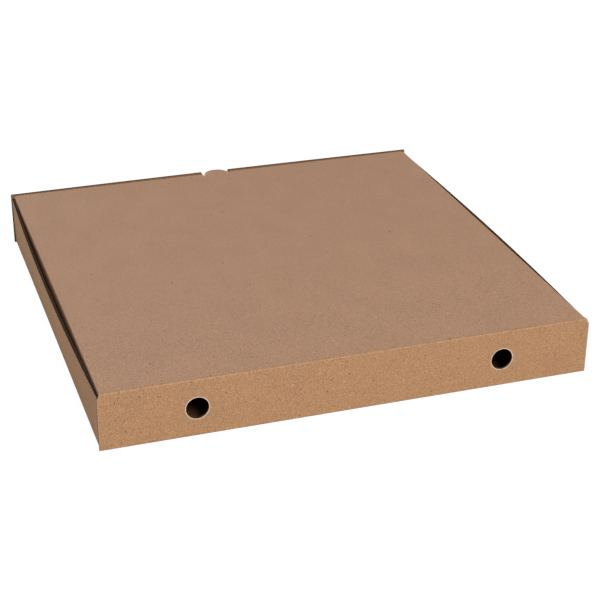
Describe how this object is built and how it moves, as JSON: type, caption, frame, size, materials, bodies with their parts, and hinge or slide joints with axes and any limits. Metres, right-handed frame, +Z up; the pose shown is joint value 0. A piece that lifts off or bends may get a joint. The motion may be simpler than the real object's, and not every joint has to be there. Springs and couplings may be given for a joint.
{
  "type": "pizza box",
  "caption": "Shallow square box folded from fluted kraft board: hinged lid with inner flaps, tuck front and half-moon thumb tab, round steam vents in the hinge wall.",
  "frame": {"origin": "middle of the underside, on the surface the box stands on", "axes": "+X along the hinge, +Y from the hinge wall to the opening side, +Z up out of the lid"},
  "size_m": [0.337, 0.3329, 0.04],
  "materials": {
    "kraft_tray": "matte unbleached kraft liner on fluted board",
    "kraft_lid": "matte unbleached kraft liner on fluted board"
  },
  "bodies": {
    "tray": {"tray": "kraft_tray"},
    "lid": {"lid": "kraft_lid"}
  },
  "joints": [
    {"name": "lid_hinge", "type": "hinge", "parent": "tray", "child": "lid", "pos_m": [0, -0.16438, 0.03938], "axis": [1, 0, 0], "range_deg": [0, 180]}
  ]
}
